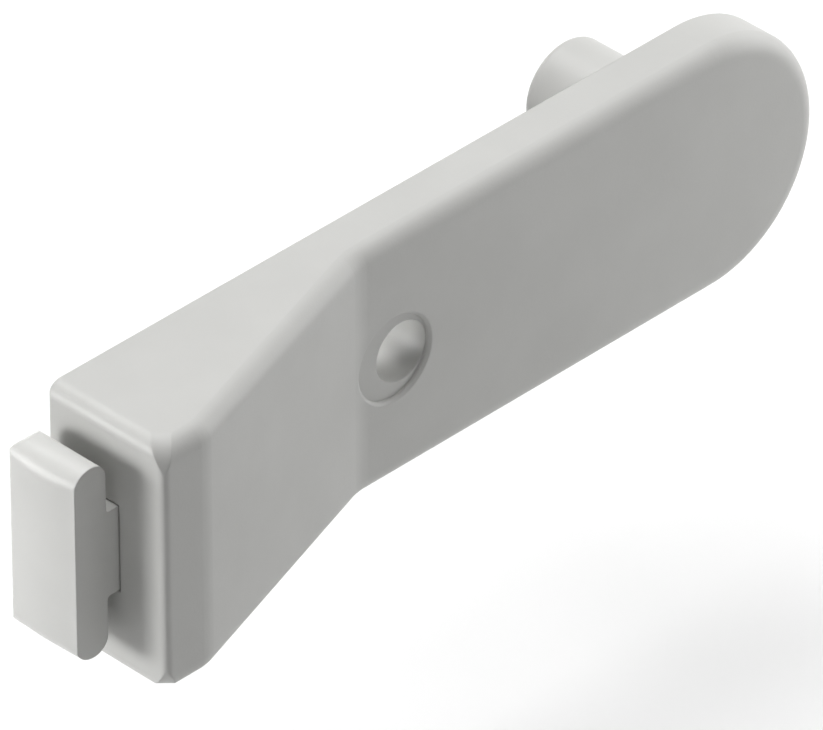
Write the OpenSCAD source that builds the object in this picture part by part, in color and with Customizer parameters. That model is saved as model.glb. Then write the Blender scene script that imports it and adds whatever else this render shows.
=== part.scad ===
// Door buffer: a moulded arm that is fixed to the side wall of a cabinet with
// one screw and a locating peg, and carries a sprung buffer head in its thick
// end. +X runs along the arm towards the round end, -Y is the visible face,
// +Y goes into the cabinet wall and +Z is up. The origin is on the peg's axis
// where it leaves the flat mounting face.

/* [Arm] */
// Height of the arm, and diameter of its round end
arm_h = 20.6; // [20:0.1:26]
// Distance from the peg's axis to the seat of the screw
seat_x = 32; // [24:0.5:32]
// Distance from the peg's axis to the crease where the ramp starts
crease_x = 35.4; // [35.4:0.1:44]
// Length of the ramp along the arm
ramp_len = 21.3; // [20:0.1:26]
// Length of the flat band between the ramp and the end face
band_len = 4.1; // [3.6:0.1:8]
// Thickness of the plate at its middle
plate_t = 4.3; // [3.8:0.1:5]
// Thickness of the head at its middle
head_t = 11.2; // [10.6:0.1:13]
// How far the long edges lie below the middle of the front
crown_drop = 1.3; // [0.4:0.1:1.4]
// Width of the rounded strip along each long edge
crown_w = 1.5; // [1.45:0.05:2.2]
// Radius that softens the crease
crease_r = 5; // [2:0.5:8]
// Radius that softens the ridge between the ramp and the flat band
ridge_r = 4; // [2:0.5:8]
// Radius at the top and bottom of the end face
end_r = 1.1; // [0.5:0.1:1.6]
// Radius of the upright edge at the back of the end face
back_r = 0.2; // [0.2:0.1:1.2]
// Radius of the upright edge at the front of the end face
front_r = 0.6; // [0.3:0.1:1.2]
// Radius over the two front corners of the end face
corner_r = 2.2; // [1.5:0.1:2.6]

/* [Locating peg] */
// Diameter of the peg
peg_d = 8; // [6:0.5:10]
// Length of the peg behind the mounting face
peg_len = 11; // [8:0.5:13]
// Radius round the tip of the peg
peg_tip_r = 0.6; // [0.3:0.1:1]
// Diameter of the core hole in the peg's tip
core_d = 4; // [3:0.5:5]
// Depth of the core hole
core_depth = 9; // [6:0.5:10]

/* [Screw hole] */
// Diameter of the hole for the screw's shank
shank_d = 4.8; // [4.2:0.1:4.8]
// How far that hole lies off the seat's middle, towards the peg
shank_off = 0.95; // [0:0.05:0.95]
// Diameter of the seat for the screw's head
seat_d = 6.8; // [6.7:0.1:7.4]
// Depth of the seat for the screw's head
seat_depth = 0.4; // [0.3:0.1:1]
// Chamfer round the mouth of the seat
seat_edge = 0.2; // [0.1:0.05:0.3]

/* [Buffer head] */
// Height of the pad
pad_h = 15.8; // [13:0.1:17]
// Width of the pad across the arm
pad_w = 6.5; // [6.2:0.1:6.6]
// Thickness of the pad at its edges
pad_t = 2.9; // [2.4:0.1:3.6]
// How far the middle of the pad's front stands out
pad_dome = 0.25; // [0.1:0.05:0.5]
// Radius at the top and bottom of the pad's front
pad_front_r = 1.6; // [0.8:0.1:1.6]
// Radius at the top and bottom of the pad's back
pad_rear_r = 1.3; // [0.4:0.1:1.4]
// Radius of the upright edge beside the cabinet wall
pad_side_r = 0.3; // [0.2:0.1:0.8]
// Radius of the pad's two corners beside the cabinet wall
pad_corner_r = 1.4; // [0.5:0.1:1.6]
// How far the pad stays behind the mounting face
pad_inset = 0.15; // [0.1:0.05:0.4]
// Travel of the buffer head
travel = 1; // [0.5:0.1:1.2]
// Gap that is left at the end of the travel
spare = 0.1; // [0.05:0.05:0.2]
// Height of the stem
stem_h = 7; // [6.6:0.1:7.4]
// Width of the stem across the arm
stem_w = 4.2; // [3.8:0.1:4.4]
// Radius of the fillets where the stem meets the pad
root_r = 0.3; // [0.2:0.05:0.3]
// Clearance round the stem in the end wall
stem_gap = 0.12; // [0.1:0.01:0.2]
// Length of the stem's tail inside the slide
tail_len = 4.5; // [4:0.1:5]
// How much the tail is smaller than the stem, all round
tail_step = 0.6; // [0.4:0.1:0.8]

/* [Pocket] */
// Wall between the pocket and the end face
end_wall = 1.3; // [1.2:0.1:1.6]
// Length of the pocket behind the end wall
pocket_len = 13.8; // [13.5:0.1:14.2]
// Height of the pocket
pocket_h = 16.4; // [16.2:0.1:17]
// Wall between the pocket and the visible face
front_wall = 1.5; // [1.2:0.1:1.6]
// Height of the two rails that guide the slide
rail_h = 1.4; // [1:0.1:2]
// Distance of the rails from the middle
rail_z = 5.3; // [4:0.1:6.5]

/* [Cover] */
// Thickness of the cover that closes the pocket
cover_t = 1.2; // [1:0.1:1.3]
// Width of the ledge that the cover lies on
ledge = 0.7; // [0.5:0.1:0.9]
// Clearance round the cover
cover_gap = 0.1; // [0.05:0.05:0.15]
// Reach of the tongue into the end wall
tongue = 0.5; // [0.4:0.1:0.6]
// Height of the tongue
tongue_h = 9; // [6:0.5:12]
// Width of each snap leg
leg_w = 2.6; // [2:0.1:3]
// Thickness of each snap leg
leg_t = 0.8; // [0.6:0.1:0.9]
// Length of each snap leg
leg_len = 3; // [2.4:0.1:3.2]
// Reach of the barb on each snap leg
barb = 0.4; // [0.3:0.1:0.5]

/* [Slide] */
// Length of the slide
slide_len = 7; // [6.6:0.1:7.2]
// Thickness of the slide across the arm
slide_t = 5.8; // [5.7:0.1:5.9]
// Clearance between the slide and what guides it
slide_gap = 0.15; // [0.1:0.05:0.2]
// Diameter of the cross pin that holds the stem
cross_d = 1.5; // [1:0.1:1.8]
// Thickness of the return stop
stop_t = 0.6; // [0.5:0.1:0.8]

/* [Springs] */
// Distance of each spring from the middle
spring_z = 5.3; // [5.2:0.05:5.5]
// Distance of the springs from the mounting face
spring_y = 3.6; // [3.5:0.05:3.8]
// Outside diameter of the springs
spring_d = 3; // [2.7:0.1:3]
// Wire of the springs
wire_d = 0.4; // [0.3:0.05:0.45]
// Turns of each spring
turns = 7; // [5:1:9]
// Depth of the springs' seats in the slide
spring_seat = 4.5; // [4:0.1:5]
// Diameter of the guide pins
guide_d = 1.6; // [1.2:0.1:1.7]
// Running clearance of the guide pins in the slide
guide_gap = 0.05; // [0.03:0.01:0.08]
// Thickness of the thrust plate that carries the guide pins
thrust_t = 0.8; // [0.6:0.1:1]
// Diameter of the damping block
block_d = 4.4; // [3.6:0.1:5]
// Small clearance of pieces that are pressed or seated
seat_gap = 0.01; // [0.01:0.01:0.02]

/* [Hidden] */
$fn = 96;
big = 40;

// Outline of the arm in plan
band_x = crease_x + ramp_len;
end_x = band_x + band_len;
ramp_slope = (head_t - plate_t) / ramp_len;
ramp_a = atan(ramp_slope);
round_r = arm_h / 2;
// Arc of the rounded strip along the long edges, never short of the arris
crown_r = ceil(500 * (crown_w * crown_w + crown_drop * crown_drop) / crown_drop) / 1000;

// Places along the arm, measured from the peg towards the head
wall_x = end_x - end_wall;
stop_x = wall_x - stop_t;
slide_x = stop_x - slide_len;
pocket_x = wall_x - pocket_len;
thrust_x = pocket_x + thrust_t;
pad_x = end_x + travel + spare;
spring_x = slide_x + spring_seat;
leg_x = thrust_x + 0.5;
// Places across the arm, measured from the mounting face
stem_y = pad_inset + pad_w - stem_w / 2;
slide_y = cover_t + slide_gap + slide_t / 2;
rail_y = slide_y + slide_t / 2 + slide_gap;
// Sizes that follow from the fits
slide_h = pocket_h - 2 * slide_gap;
tail_h = stem_h - 2 * tail_step;
tail_w = stem_w - 2 * tail_step;
cover_h = pocket_h + 2 * ledge;

// A plan outline, made into a prism as high as the arm
module plan(points) {
    translate([0, 0, -big / 2]) linear_extrude(big) polygon(points);
}

// Box from one corner to the other
module block(from, to) {
    translate(from) cube(to - from);
}

// Round bar along X, from one place along the arm to another
module bar_x(x0, x1, d) {
    translate([x0, 0, 0]) rotate([0, 90, 0]) cylinder(h = x1 - x0, d = d);
}

// Round bar along +Y, from one depth to another
module bar_y(y0, y1, d) {
    translate([0, y0, 0]) rotate([-90, 0, 0]) cylinder(h = y1 - y0, d = d);
}

// What a fillet of radius r takes off a square corner at the origin, whose
// walls run along +X and +Y
module corner_waste(r) {
    difference() {
        translate([-1, -1]) square(r + 1);
        translate([r, r]) circle(r);
    }
}

// The same along Y, for the end of something high h, whose end lies at x
module end_waste(x, h, r) {
    for (s = [0, 1])
        mirror([0, 0, s])
            translate([x, big / 2, -h / 2]) rotate([90, 0, 0]) linear_extrude(big) corner_waste(r);
}

// Cross-section of the arm: the mounting face at 0, the visible face at -t, and
// the rounded strips that fall away to the long edges
module section(t) {
    difference() {
        translate([-t, -arm_h / 2]) square([t, arm_h]);
        for (s = [0, 1])
            mirror([0, s]) difference() {
                translate([-t - 1, arm_h / 2 - crown_w]) square([crown_drop + 1, crown_w + 1]);
                translate([crown_r - t, arm_h / 2 - crown_w]) circle(crown_r);
            }
    }
}

// A straight run of that section along +X
module run(t, len) {
    rotate([90, 0, 90]) linear_extrude(len) section(t);
}

// The round end: the same section turned about the peg's axis
module round_end() {
    rotate([90, 0, 0]) rotate_extrude()
        intersection() {
            square([round_r, plate_t]);
            rotate(-90) section(plate_t);
        }
}

// Plate, ramp and flat band: the ramp and the band cut each other at the ridge,
// and the plate runs into the ramp at the crease
module arm_body() {
    overlap = plate_t - 1;
    translate([-crease_x - plate_t, 0, 0]) run(plate_t, crease_x + plate_t);
    crease_fill();
    difference() {
        intersection() {
            translate([-crease_x, -plate_t, 0]) rotate(ramp_a)
                translate([-2 * ramp_len, big / 2, 0]) run(big / 2, 2 * ramp_len + overlap);
            translate([-end_x, 0, 0]) run(head_t, end_x - crease_x + overlap);
        }
        ridge_waste();
    }
}

// Wedge in plan from the origin, over the ramp's angle, that starts along -Y
module wedge(reach) {
    plan([[0, 0], [0, -reach], [reach * sin(ramp_a), -reach * cos(ramp_a)]]);
}

// What softens the crease: the section turned about an upright axis in front of
// it, set a hair behind the two faces that it joins
module crease_fill() {
    sunk = 0.001;
    bend = plate_t - 1;
    translate([-crease_x + crease_r * tan(ramp_a / 2), sunk - plate_t - crease_r, 0])
        intersection() {
            rotate_extrude() translate([crease_r + bend, 0]) section(bend);
            rotate(180) wedge(2 * (crease_r + bend));
        }
}

// What softens the ridge: all that lies outside the section turned about an
// upright axis behind it, which stands a hair proud of the two faces
module ridge_waste() {
    proud = 0.001;
    translate([-band_x - ridge_r * tan(ramp_a / 2), ridge_r - head_t, 0])
        intersection() {
            rotate_extrude() for (s = [0, 1])
                mirror([0, s]) {
                    translate([ridge_r + proud, -1]) square([3, arm_h]);
                    translate([ridge_r + proud - crown_r, arm_h / 2 - crown_w])
                        difference() {
                            translate([crown_r - crown_drop, 0])
                                square([crown_drop + 1, crown_w + 1]);
                            circle(crown_r);
                        }
                }
            wedge(ridge_r + 2);
        }
}

// Pocket for the slide and its springs, open at the mounting face, with the
// two rails that the slide runs on
module pocket() {
    depth_end = head_t - front_wall;
    depth_rear = plate_t + ramp_slope * (pocket_x - crease_x) - front_wall;
    difference() {
        intersection() {
            plan([[-wall_x, 1], [-wall_x, -depth_end], [-band_x, -depth_end],
                  [-pocket_x, -depth_rear], [-pocket_x, 1]]);
            cube([4 * big, big, pocket_h], center = true);
        }
        for (s = [-1, 1])
            block([-stop_x, -head_t, s * rail_z - rail_h / 2],
                  [-slide_x + travel + 0.4, -rail_y, s * rail_z + rail_h / 2]);
    }
}

// Seat of the cover: the ledge on three sides, the groove for its tongue and
// the two notches for its barbs
module cover_seat() {
    block([-wall_x, -cover_t, -cover_h / 2], [-pocket_x + ledge, 1, cover_h / 2]);
    block([-wall_x - tongue - cover_gap, -cover_t - cover_gap, -tongue_h / 2 - cover_gap],
          [-wall_x + 1, -cover_t / 2 + cover_gap, tongue_h / 2 + cover_gap]);
    for (s = [0, 1])
        mirror([0, 0, s])
            block([-leg_x - leg_w - cover_gap, -cover_t - leg_len - cover_gap, 0],
                  [-leg_x + cover_gap, -cover_t - leg_len + 2 * barb + cover_gap,
                   pocket_h / 2 + barb + cover_gap]);
}

// Arm with its peg, one moulding
module arm() {
    color("#c9cac6") difference() {
        union() {
            arm_body();
            round_end();
            bar_y(-1, peg_len - peg_tip_r, peg_d);
            translate([0, peg_len - peg_tip_r, 0]) rotate([-90, 0, 0]) rotate_extrude() {
                square([peg_d / 2 - peg_tip_r, peg_tip_r]);
                intersection() {
                    translate([peg_d / 2 - peg_tip_r, 0]) circle(peg_tip_r);
                    square([peg_d / 2, peg_tip_r]);
                }
            }
        }
        // Rounded edges of the end face
        end_waste(-end_x, arm_h, end_r);
        translate([-end_x, 0, -big / 2]) mirror([0, 1, 0]) linear_extrude(big) corner_waste(back_r);
        translate([-end_x, -head_t, -big / 2]) linear_extrude(big) corner_waste(front_r);
        translate([front_r * (1 - sqrt(0.5)) - end_x, front_r * (1 - sqrt(0.5)) - head_t, 0])
            rotate(45) end_waste(0, arm_h, corner_r);
        // Screw hole with its seat
        translate([-seat_x, 0, 0]) {
            translate([shank_off, 0, 0]) bar_y(-plate_t - 1, 1, shank_d);
            bar_y(-plate_t - 1, -plate_t + seat_depth, seat_d);
            translate([0, -plate_t - seat_edge, 0]) rotate([-90, 0, 0])
                cylinder(h = 2 * seat_edge, r1 = seat_d / 2 + 2 * seat_edge, r2 = seat_d / 2);
        }
        // Core hole of the peg
        bar_y(peg_len - core_depth, peg_len + 1, core_d);
        // Window for the stem
        block([-end_x - 1, -stem_y - stem_w / 2 - stem_gap, -stem_h / 2 - stem_gap],
              [-wall_x + 1, -stem_y + stem_w / 2 + stem_gap, stem_h / 2 + stem_gap]);
        pocket();
        cover_seat();
    }
}

// Pad and stem, one moulding
module buffer_head() {
    side_y = -pad_inset - pad_w;
    front_x = pad_x + pad_t;
    // Arc of the domed front, seen from above
    dome_r = (pad_w * pad_w / 4 + pad_dome * pad_dome) / (2 * pad_dome);
    color("#dcdcda") difference() {
        union() {
            intersection() {
                block([-front_x - pad_dome, side_y, -pad_h / 2], [-pad_x, -pad_inset, pad_h / 2]);
                translate([dome_r - front_x - pad_dome, side_y + pad_w / 2, -big / 2])
                    cylinder(h = big, r = dome_r, $fn = 360);
            }
            block([-pad_x - root_r, -stem_y - stem_w / 2, -stem_h / 2],
                  [-stop_x, -stem_y + stem_w / 2, stem_h / 2]);
            for (s = [0, 1])
                mirror([0, 0, s]) difference() {
                    block([-pad_x - root_r, -stem_y - stem_w / 2, 0],
                          [-pad_x + root_r, -stem_y + stem_w / 2, stem_h / 2 + root_r]);
                    translate([-pad_x + root_r, 0, stem_h / 2 + root_r])
                        bar_y(-stem_y - stem_w, -stem_y + stem_w, 2 * root_r);
                }
            block([-stop_x - 1, -stem_y - tail_w / 2, -tail_h / 2],
                  [-stop_x + tail_len, -stem_y + tail_w / 2, tail_h / 2]);
        }
        end_waste(-front_x - pad_dome / 2, pad_h, pad_front_r);
        translate([-pad_x, 0, 0]) mirror([1, 0, 0]) end_waste(0, pad_h, pad_rear_r);
        translate([-front_x, -pad_inset, -big / 2]) mirror([0, 1, 0])
            linear_extrude(big) corner_waste(pad_side_r);
        for (s = [0, 1])
            mirror([0, 0, s])
                translate([-front_x - 1, -pad_inset, -pad_h / 2]) rotate([90, 0, 90])
                    linear_extrude(pad_t + 1) mirror([1, 0, 0]) corner_waste(pad_corner_r);
        cross_bore();
    }
}

// Bore of the cross pin
module cross_bore() {
    translate([-stop_x + tail_len / 2, 0, 0]) bar_y(-head_t, 1, cross_d + 2 * seat_gap);
}

// Rubber frame round the stem that the slide returns against
module return_stop() {
    color("#3a3a3c") difference() {
        block([-wall_x, -slide_y - slide_t / 2, -slide_h / 2],
              [-stop_x, -slide_y + slide_t / 2, slide_h / 2]);
        block([-wall_x - 1, -stem_y - stem_w / 2 - stem_gap, -stem_h / 2 - stem_gap],
              [-stop_x + 1, -stem_y + stem_w / 2 + stem_gap, stem_h / 2 + stem_gap]);
    }
}

// Slide: carries the stem's tail and pushes on both springs
module slide() {
    color("#e8e6df") difference() {
        block([-stop_x, -slide_y - slide_t / 2, -slide_h / 2],
              [-slide_x, -slide_y + slide_t / 2, slide_h / 2]);
        block([-stop_x - 1, -stem_y - tail_w / 2 - seat_gap, -tail_h / 2 - seat_gap],
              [-stop_x + tail_len + seat_gap, -stem_y + tail_w / 2 + seat_gap,
               tail_h / 2 + seat_gap]);
        cross_bore();
        for (s = [-1, 1])
            translate([0, -spring_y, s * spring_z]) {
                bar_x(-spring_x, -slide_x + 1, spring_d + 2 * slide_gap);
                bar_x(-stop_x - 1, -slide_x, guide_d + 2 * guide_gap);
            }
    }
}

// Steel pin through the slide and the stem's tail
module cross_pin() {
    color("#a9acb0") translate([-stop_x + tail_len / 2, 0, 0])
        bar_y(-slide_y - slide_t / 2 + 0.2, -slide_y + slide_t / 2 - 0.2, cross_d);
}

// Steel pin that a spring is threaded on, pressed into the thrust plate
module guide_pin(s) {
    color("#a9acb0") translate([0, -spring_y, s * spring_z])
        bar_x(-spring_x - 0.8, -pocket_x - 0.1, guide_d);
}

// Compression spring with closed ends, along X
function spring_turn(t) = t < 1 ? t * wire_d
    : t > turns - 1 ? spring_len - wire_d - (turns - t) * wire_d
    : wire_d + (t - 1) * (spring_len - 3 * wire_d) / (turns - 2);
spring_len = spring_x - thrust_x - 2 * seat_gap;

module spring(s) {
    steps = 20;
    sides = 8;
    n = turns * steps;
    mid_r = (spring_d - wire_d) / 2;
    points = [for (i = [0:n], j = [0:sides - 1])
        let (a = 360 * i / steps, b = 360 * j / sides, r = mid_r + wire_d / 2 * cos(b))
        [-spring_x + seat_gap + wire_d / 2 + spring_turn(i / steps) + wire_d / 2 * sin(b),
         r * cos(a), r * sin(a)]];
    sheet = [for (i = [0:n - 1], j = [0:sides - 1])
        let (k = (j + 1) % sides)
        [i * sides + j, i * sides + k, (i + 1) * sides + k, (i + 1) * sides + j]];
    caps = [[for (j = [sides - 1:-1:0]) j], [for (j = [0:sides - 1]) n * sides + j]];
    color("#8d9196") translate([0, -spring_y, s * spring_z])
        polyhedron(points, concat(sheet, caps), convexity = 10);
}

// Steel plate that carries the guide pins and takes the springs' thrust
module thrust_plate() {
    rear_depth = plate_t + ramp_slope * (pocket_x - crease_x) - front_wall;
    color("#9a9da1") difference() {
        block([-thrust_x, -rear_depth + slide_gap, -slide_h / 2],
              [-pocket_x, -cover_t - slide_gap, slide_h / 2]);
        for (s = [-1, 1])
            translate([0, -spring_y, s * spring_z])
                bar_x(-thrust_x - 1, -pocket_x + 1, guide_d + 2 * seat_gap);
    }
}

// Rubber block that the slide meets at the end of its travel
module damping_block() {
    length = slide_x - thrust_x - travel - spare;
    color("#2f2f31") translate([-thrust_x, -spring_y, 0]) rotate([0, -90, 0]) {
        cylinder(h = length - block_d / 8, d = block_d);
        cylinder(h = length, d = block_d * 0.75);
    }
}

// Cover of the pocket, with a tongue at one end and two snap legs
module back_cover() {
    color("#c4c5c1") {
        block([-wall_x + cover_gap, -cover_t, -cover_h / 2 + cover_gap],
              [-pocket_x + ledge - cover_gap, 0, cover_h / 2 - cover_gap]);
        block([-wall_x - tongue, -cover_t, -tongue_h / 2],
              [-wall_x + 1, -cover_t / 2, tongue_h / 2]);
        for (s = [0, 1])
            mirror([0, 0, s]) translate([-leg_x - leg_w, 0, pocket_h / 2 - cover_gap]) {
                block([0, -cover_t - leg_len, -leg_t], [leg_w, -cover_t + 0.1, 0]);
                rotate([0, 90, 0]) linear_extrude(leg_w)
                    polygon([[0.1, -cover_t - leg_len], [0, -cover_t - leg_len],
                             [-barb, -cover_t - leg_len + barb], [-barb, -cover_t - leg_len + 2 * barb],
                             [0.1, -cover_t - leg_len + 2 * barb]]);
            }
    }
}

arm();
buffer_head();
return_stop();
slide();
cross_pin();
guide_pin(1);  // upper_guide_pin
guide_pin(-1);  // lower_guide_pin
spring(1);  // upper_spring
spring(-1);  // lower_spring
thrust_plate();
damping_block();
back_cover();
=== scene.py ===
import math

import bmesh
import bpy
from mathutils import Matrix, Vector


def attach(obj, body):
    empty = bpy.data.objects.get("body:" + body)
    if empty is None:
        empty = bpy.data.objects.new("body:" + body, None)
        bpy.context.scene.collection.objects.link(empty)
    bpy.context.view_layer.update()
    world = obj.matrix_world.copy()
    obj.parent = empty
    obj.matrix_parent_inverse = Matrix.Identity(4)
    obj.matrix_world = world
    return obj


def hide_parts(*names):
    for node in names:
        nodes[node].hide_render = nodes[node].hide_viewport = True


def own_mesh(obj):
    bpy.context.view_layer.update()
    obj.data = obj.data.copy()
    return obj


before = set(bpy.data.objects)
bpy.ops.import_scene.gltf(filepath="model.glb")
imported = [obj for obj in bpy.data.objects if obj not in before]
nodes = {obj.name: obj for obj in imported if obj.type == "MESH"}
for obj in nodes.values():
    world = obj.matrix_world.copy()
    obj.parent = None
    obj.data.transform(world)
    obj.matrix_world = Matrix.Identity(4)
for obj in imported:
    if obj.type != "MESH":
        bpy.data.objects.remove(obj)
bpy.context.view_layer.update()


# The arm is one injection moulding in light grey acetal, peg and all. The mould
# was spark-eroded to a fine satin, so the skin has a very small grain, a little
# slow waviness where the thick head sank as it cooled, and no paint.

def new_material(name):
    """A new material, its node tree, its shader and the object's own coordinates in it."""
    material = bpy.data.materials.new(name)
    material.use_nodes = True
    tree = material.node_tree
    place = tree.nodes.new("ShaderNodeTexCoord").outputs["Object"]
    return material, tree, tree.nodes["Principled BSDF"], place


def noise(tree, place, scale, detail=2, roughness=0.5):
    """A noise that runs from 0 to 1, laid out by the coordinates in place."""
    texture = tree.nodes.new("ShaderNodeTexNoise")
    texture.inputs["Scale"].default_value = scale
    texture.inputs["Detail"].default_value = detail
    texture.inputs["Roughness"].default_value = roughness
    tree.links.new(place, texture.inputs["Vector"])
    return texture.outputs["Fac"]


def tint(tree, factor, first, last, start=0.3, end=0.7):
    """A colour that goes from first to last while the factor goes from start to end."""
    ramp = tree.nodes.new("ShaderNodeValToRGB")
    for element, position, colour in zip(ramp.color_ramp.elements, (start, end), (first, last)):
        element.position = position
        element.color = [*colour, 1]
    tree.links.new(factor, ramp.inputs["Fac"])
    return ramp.outputs["Color"]


def between(tree, factor, low, high):
    """A value that goes from low to high while the factor goes from 0 to 1."""
    mapped = tree.nodes.new("ShaderNodeMapRange")
    mapped.inputs["To Min"].default_value = low
    mapped.inputs["To Max"].default_value = high
    tree.links.new(factor, mapped.inputs["Value"])
    return mapped.outputs["Result"]


def relief(tree, factor, depth, under=None):
    """The normal of a surface with relief of a depth in metres, over the normal under it."""
    bumped = tree.nodes.new("ShaderNodeBump")
    bumped.inputs["Distance"].default_value = depth
    tree.links.new(factor, bumped.inputs["Height"])
    if under is not None:
        tree.links.new(under, bumped.inputs["Normal"])
    return bumped.outputs["Normal"]


def moulded_plastic(name, colour, roughness, grain, sink, cloud, edge):
    """A satin moulding: grain, sink and edge radius in metres, cloud as a share of the colour."""
    material, tree, skin, place = new_material(name)
    skin.inputs["IOR"].default_value = 1.48
    skin.inputs["Specular IOR Level"].default_value = 0.42

    # The patterns are turned, so that none lies along the part
    turn = tree.nodes.new("ShaderNodeMapping")
    turn.inputs["Rotation"].default_value = (0.3, 0.2, 0.5)
    tree.links.new(place, turn.inputs["Vector"])
    turned = turn.outputs["Vector"]

    # Slow clouding of the colour, from the way the melt filled the mould
    clouds = noise(tree, turned, scale=130, detail=3, roughness=0.55)
    dark = [channel * (1 - cloud) for channel in colour]
    light = [min(1, channel * (1 + cloud)) for channel in colour]
    tree.links.new(tint(tree, clouds, dark, light), skin.inputs["Base Color"])

    # The satin varies a little with handling
    wear = 0.06
    rubbed = noise(tree, turned, scale=420, detail=4)
    satin = between(tree, rubbed, roughness - wear, roughness + wear)
    tree.links.new(satin, skin.inputs["Roughness"])

    # The tiny radius that every moulded edge has, then the sink waviness, and
    # the grain of the mould on top
    broken = tree.nodes.new("ShaderNodeBevel")
    broken.samples = 6
    broken.inputs["Radius"].default_value = edge
    sunk = relief(tree, noise(tree, turned, scale=90, detail=1), sink, broken.outputs["Normal"])
    grained = relief(tree, noise(tree, turned, scale=5200), grain, sunk)
    tree.links.new(grained, skin.inputs["Normal"])
    return material


def dress(node, material):
    """Puts one material on a CAD node."""
    mesh = nodes[node].data
    mesh.materials.clear()
    mesh.materials.append(material)


ARM_GREY = (0.53, 0.53, 0.514)
arm_plastic = moulded_plastic("arm_plastic", ARM_GREY, roughness=0.46,
                              grain=6e-6, sink=6e-5, cloud=0.025, edge=1.8e-4)
dress("arm", arm_plastic)


# The buffer head is a separate moulding in the same grey, a shade lighter and
# smoother. Its stem runs through the window in the arm's end wall, with its
# domed pad about a millimetre in front of it.

PAD_GREY = (0.58, 0.58, 0.563)
pad_plastic = moulded_plastic("pad_plastic", PAD_GREY, roughness=0.42,
                              grain=4e-6, sink=3e-5, cloud=0.02, edge=1.5e-4)

# The pad's dome, and how far its middle stands in front of the lines on which
# the upper and lower front rounds start
PAD_MIDDLE_Y = -0.0034
DOME_RADIUS = 0.02125
DOME_RISE = 0.000125

# The upper one of those lines, and the radius of the rounds
ROUND_START = Vector((-0.064925, 0, 0.0063))
ROUND_RADIUS = 0.0016

SAME_POINT = 1e-6  # points closer than this are one
DECIMALS = 7  # y values that agree in so many decimals are one line of the dome
UPRIGHT = 0.9  # a face is level when the vertical share of its normal is greater
SHARP = math.radians(25)  # an edge that turns by more stays sharp


def own_form(node):
    """The node's own mesh, with its doubled points merged."""
    form = bmesh.new()
    form.from_mesh(nodes[node].data)
    bmesh.ops.remove_doubles(form, verts=form.verts, dist=SAME_POINT)
    return form


def new_piece(name, form, material):
    """A piece of the scene made from a form, which is freed."""
    mesh = bpy.data.meshes.new(name)
    form.to_mesh(mesh)
    form.free()
    mesh.materials.append(material)
    piece = bpy.data.objects.new(name, mesh)
    bpy.context.scene.collection.objects.link(piece)
    return piece


def dome_above_round(y):
    """How far the dome stands in front of the line on which the rounds start."""
    off = y - PAD_MIDDLE_Y
    return math.sqrt(DOME_RADIUS ** 2 - off ** 2) - DOME_RADIUS + DOME_RISE


def follow_dome(form):
    """Takes out the small step that the solid has in each round, as the rounds start behind the dome."""
    front, level = ROUND_START.x, ROUND_START.z
    rear = front + ROUND_RADIUS

    # The rounds are cut across at each line of the dome
    dome_lines = sorted({round(vert.co.y, DECIMALS) for vert in form.verts
                         if vert.co.x < front - SAME_POINT})
    for y in dome_lines:
        faces = [face for face in form.faces if face.calc_center_median().x < rear
                 and min(abs(vert.co.z) for vert in face.verts) > level - SAME_POINT]
        edges = {edge for face in faces for edge in face.edges}
        verts = {vert for face in faces for vert in face.verts}
        bmesh.ops.bisect_plane(form, geom=[*faces, *edges, *verts], dist=SAME_POINT / 2,
                               plane_co=(0, y, 0), plane_no=(0, 1, 0))

    # The step's level faces go
    step = [face for face in form.faces if abs(face.normal.z) > UPRIGHT
            and all(abs(abs(vert.co.z) - level) < SAME_POINT for vert in face.verts)]
    bmesh.ops.delete(form, geom=step, context="FACES")

    # The rounds are drawn forward to meet the dome, and less so towards their rear
    for vert in form.verts:
        if abs(vert.co.z) > level - SAME_POINT and front - SAME_POINT < vert.co.x < rear:
            rise = max(0, dome_above_round(vert.co.y))
            vert.co.x -= rise * (rear - vert.co.x) / ROUND_RADIUS
    bmesh.ops.remove_doubles(form, verts=form.verts, dist=SAME_POINT * 2)


def soft_head(name, node, material):
    """The node's own mesh, whose two front rounds follow the dome."""
    form = own_form(node)
    follow_dome(form)
    for edge in form.edges:
        edge.smooth = edge.calc_face_angle(math.pi) < SHARP
    for face in form.faces:
        face.smooth = True
    piece = new_piece(name, form, material)
    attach(piece, "buffer")
    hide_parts(node)


soft_head("soft_head", "buffer_head", pad_plastic)


# The back cover is a flat moulding in grey acetal that snaps into the pocket's
# mouth with two legs and a tongue, flush with the mounting face.

COVER_GREY = (0.5, 0.5, 0.486)
cover_plastic = moulded_plastic("cover_plastic", COVER_GREY, roughness=0.5,
                                grain=8e-6, sink=4e-5, cloud=0.025, edge=1e-4)
dress("back_cover", cover_plastic)


# The slide is a block of natural acetal, which is a little waxy, so it runs in
# the grey pocket without grease.

NATURAL = (0.78, 0.77, 0.72)
slide_plastic = moulded_plastic("slide_plastic", NATURAL, roughness=0.32,
                                grain=3e-6, sink=3e-5, cloud=0.015, edge=1e-4)
slide_skin = slide_plastic.node_tree.nodes["Principled BSDF"]
slide_skin.inputs["Subsurface Weight"].default_value = 0.08
slide_skin.inputs["Subsurface Scale"].default_value = 0.002
dress("slide", slide_plastic)


# The return stop is a frame cut from black rubber sheet, and the damping block
# is a turned rubber plug; both are dull, with a bloom of fine dust.

STOP_BLACK = (0.03, 0.03, 0.032)
BLOCK_BLACK = (0.022, 0.022, 0.024)


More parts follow.
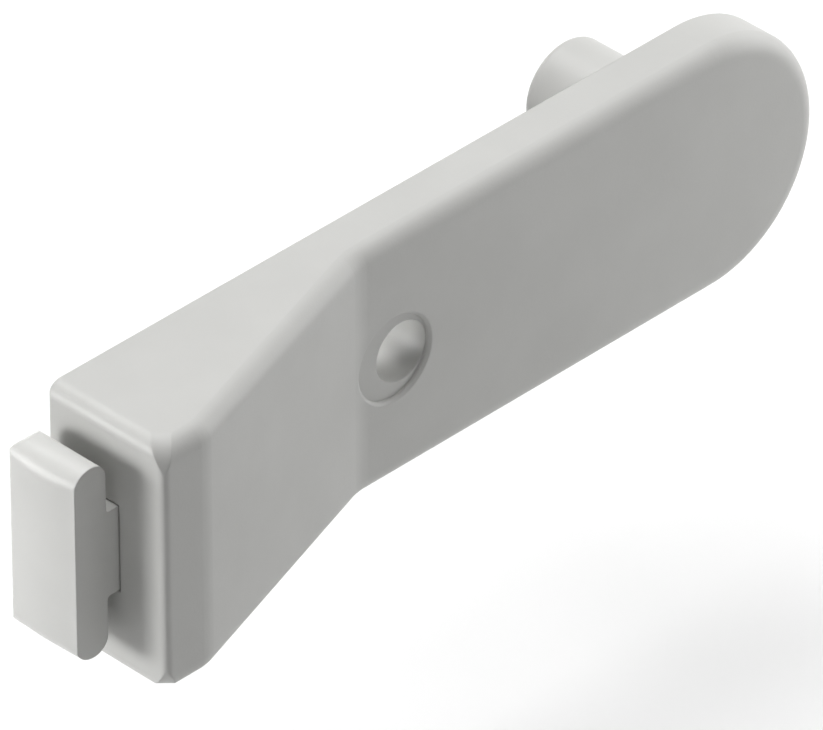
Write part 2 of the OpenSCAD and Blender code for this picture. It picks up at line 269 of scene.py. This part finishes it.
def rubber(name, colour, bloom):
    """Dull black rubber with a pale dust in patches, where bloom is added to the colour."""
    material, tree, skin, place = new_material(name)
    skin.inputs["Specular IOR Level"].default_value = 0.3
    patches = noise(tree, place, scale=900, detail=5)
    pale = [channel + bloom for channel in colour]
    dusty = tint(tree, patches, colour, pale, start=0.4, end=0.75)
    tree.links.new(dusty, skin.inputs["Base Color"])
    tree.links.new(between(tree, patches, 0.7, 0.9), skin.inputs["Roughness"])
    pores = noise(tree, place, scale=6000)
    tree.links.new(relief(tree, pores, depth=1e-5), skin.inputs["Normal"])
    return material


dress("return_stop", rubber("stop_rubber", STOP_BLACK, bloom=0.02))
dress("damping_block", rubber("block_rubber", BLOCK_BLACK, bloom=0.015))


# Three steel pins: the cross pin that holds the stem's tail, and the two that
# guide the springs. They are cut from ground wire, so the fine lines run round
# them.

PIN_GREY = (0.5, 0.5, 0.51)


def steel(name, colour, roughness, stretch, depth):
    """Bare steel with fine lines; stretch scales the pattern along X, Y and Z, depth is in metres."""
    material, tree, skin, place = new_material(name)
    skin.inputs["Metallic"].default_value = 1
    along = tree.nodes.new("ShaderNodeMapping")
    along.inputs["Scale"].default_value = stretch
    tree.links.new(place, along.inputs["Vector"])
    lines = noise(tree, along.outputs["Vector"], scale=1, detail=6)
    dark = [channel * 0.85 for channel in colour]
    light = [channel * 1.1 for channel in colour]
    tree.links.new(tint(tree, lines, dark, light), skin.inputs["Base Color"])
    worn = between(tree, lines, roughness - 0.08, roughness + 0.1)
    tree.links.new(worn, skin.inputs["Roughness"])
    tree.links.new(relief(tree, lines, depth), skin.inputs["Normal"])
    return material


pin_steel = steel("pin_steel", PIN_GREY, roughness=0.25, stretch=(9000, 600, 600), depth=2e-6)
dress("upper_guide_pin", pin_steel)
dress("lower_guide_pin", pin_steel)
cross_steel = steel("cross_pin_steel", PIN_GREY, roughness=0.25, stretch=(600, 9000, 600), depth=2e-6)
dress("cross_pin", cross_steel)


# The two springs are wound from drawn music wire, darker than the pins, with a
# fine even mottle. The thrust plate holds their back ends, and they shorten
# towards it as the pad goes in.

WIRE_GREY = (0.33, 0.33, 0.35)
spring_wire = steel("spring_steel", WIRE_GREY, roughness=0.3, stretch=(2500, 2500, 2500), depth=2e-6)


def coil(name, node):
    """The node's own coils as a piece that can shorten."""
    piece = new_piece(name, own_form(node), spring_wire)
    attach(piece, "arm")
    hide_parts(node)
    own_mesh(piece)


coil("upper_coil", "upper_spring")
coil("lower_coil", "lower_spring")


# The thrust plate is stamped from rolled steel strip, so its lines run up it. It
# stands against the pocket's rear wall and takes the load of the springs.

PLATE_GREY = (0.42, 0.42, 0.43)
plate_steel = steel("plate_steel", PLATE_GREY, roughness=0.35, stretch=(4000, 4000, 300), depth=4e-6)
dress("thrust_plate", plate_steel)


# The floor is a wide sheet of pale paper, about 25 mm below the part, which
# hangs above it as in the photograph. The camera sees the paper whiter than it
# is lit, and all white far out, so that little but the soft shadow shows.

def in_view(tree):
    """1 for the camera's own rays and those that metal or glass sends on, and 0 for others."""
    rays = tree.nodes.new("ShaderNodeLightPath")
    seen = rays.outputs["Is Camera Ray"]
    for kind in ("Is Glossy Ray", "Is Transmission Ray"):
        either = tree.nodes.new("ShaderNodeMath")
        either.operation = "MAXIMUM"
        tree.links.new(seen, either.inputs[0])
        tree.links.new(rays.outputs[kind], either.inputs[1])
        seen = either.outputs["Value"]
    return seen


def white_paper(lift, near, far):
    """Matt paper that glows in view: by the share lift as far out as near, and fully from far on."""
    material, tree, paper, place = new_material("white_paper")
    paper.inputs["Roughness"].default_value = 0.9
    paper.inputs["Specular IOR Level"].default_value = 0.2
    paper.inputs["Emission Color"].default_value = (1, 1, 1, 1)
    fibres = noise(tree, place, scale=60, detail=3)
    white = tint(tree, fibres, (0.79, 0.79, 0.79), (0.81, 0.81, 0.81), start=0, end=1)
    tree.links.new(white, paper.inputs["Base Color"])
    away = tree.nodes.new("ShaderNodeVectorMath")
    away.operation = "LENGTH"
    tree.links.new(place, away.inputs[0])
    spread = tree.nodes.new("ShaderNodeMapRange")
    spread.interpolation_type = "SMOOTHSTEP"
    spread.inputs["From Min"].default_value = near
    spread.inputs["From Max"].default_value = far
    spread.inputs["To Min"].default_value = lift
    tree.links.new(away.outputs["Value"], spread.inputs["Value"])
    share = tree.nodes.new("ShaderNodeMath")
    share.operation = "MULTIPLY"
    tree.links.new(in_view(tree), share.inputs[0])
    tree.links.new(spread.outputs["Result"], share.inputs[1])
    tree.links.new(share.outputs["Value"], paper.inputs["Emission Strength"])
    return material


FLOOR_Z = -0.035
FLOOR_HALF = 3.0
sheet = bmesh.new()
bmesh.ops.create_grid(sheet, x_segments=1, y_segments=1, size=FLOOR_HALF)
bmesh.ops.translate(sheet, verts=sheet.verts, vec=(0, 0, FLOOR_Z))
floor = new_piece("floor", sheet, white_paper(lift=0.2, near=0.15, far=0.7))


# Soft studio light: two wide panels above, a small one beside the pad whose
# narrow beam misses the peg, two on the right and a weak one in front. The
# room's own light is even and faint, and the camera sees the room as white.

ROOM_LIGHT = 0.015
world = bpy.data.worlds.new("studio")
bpy.context.scene.world = world
world.use_nodes = True
sky = world.node_tree
room = sky.nodes["Background"]
room.inputs["Color"].default_value = (1, 1, 1, 1)
room.inputs["Strength"].default_value = ROOM_LIGHT
backdrop = sky.nodes.new("ShaderNodeBackground")
backdrop.inputs["Color"].default_value = (1, 1, 1, 1)
backdrop.inputs["Strength"].default_value = 1
swap = sky.nodes.new("ShaderNodeMixShader")
sky.links.new(in_view(sky), swap.inputs["Fac"])
sky.links.new(room.outputs["Background"], swap.inputs[1])
sky.links.new(backdrop.outputs["Background"], swap.inputs[2])
sky.links.new(swap.outputs["Shader"], sky.nodes["World Output"].inputs["Surface"])

MIDDLE = Vector((-0.025, -0.004, 0))
PAD = Vector((-0.065, -0.003, 0))
NARROW = math.radians(36)


def panel(name, direction, distance, width, height, power, target=MIDDLE, spread=math.pi):
    """A soft panel that stands off the part's middle in one direction and faces its target."""
    lamp = bpy.data.lights.new(name, "AREA")
    lamp.shape = "RECTANGLE"
    lamp.size = width
    lamp.size_y = height
    lamp.energy = power
    lamp.spread = spread
    holder = bpy.data.objects.new(name, lamp)
    bpy.context.scene.collection.objects.link(holder)
    holder.location = MIDDLE + Vector(direction).normalized() * distance
    holder.rotation_euler = (target - holder.location).to_track_quat("-Z", "Y").to_euler()


panel("ceiling", (0.1, 0.1, 1), distance=0.5, width=0.5, height=0.5, power=2.35)
panel("ceiling_back", (0.05, 0.55, 1), distance=0.5, width=0.3, height=0.3, power=1.05)
panel("pad_light", (-1, 0.55, 0.02), distance=0.13, width=0.06, height=0.05, power=0.0085,
      target=PAD, spread=NARROW)
panel("right_side", (1, -0.28, 0.2), distance=0.22, width=0.18, height=0.14, power=0.158)
panel("right_near", (1, -0.5, 0.02), distance=0.13, width=0.06, height=0.05, power=0.018)
panel("front_fill", (-0.2, -1, 0.15), distance=0.6, width=0.5, height=0.3, power=0.12)


# The camera is a long lens well back from the part, so that lines stay almost
# parallel, as in the photograph.

AZIMUTH = math.radians(-45.141)
ELEVATION = math.radians(35.462)
AIM = Vector((-0.021782, 0, -0.007326))
DISTANCE = 0.9456
back = Vector((math.sin(AZIMUTH) * math.cos(ELEVATION),
               -math.cos(AZIMUTH) * math.cos(ELEVATION), math.sin(ELEVATION)))
camera = bpy.data.cameras.new("camera")
camera.sensor_width = 36
camera.sensor_fit = "HORIZONTAL"
camera.lens = 591.4
camera.shift_x = -0.0536
camera.shift_y = -0.0072
camera.clip_start = 0.05
camera.clip_end = 20
eye = bpy.data.objects.new("camera", camera)
eye.location = AIM + back * DISTANCE
eye.rotation_euler = (-back).to_track_quat("-Z", "Y").to_euler()
bpy.context.scene.collection.objects.link(eye)
bpy.context.scene.camera = eye
bpy.context.scene.view_settings.view_transform = "Standard"
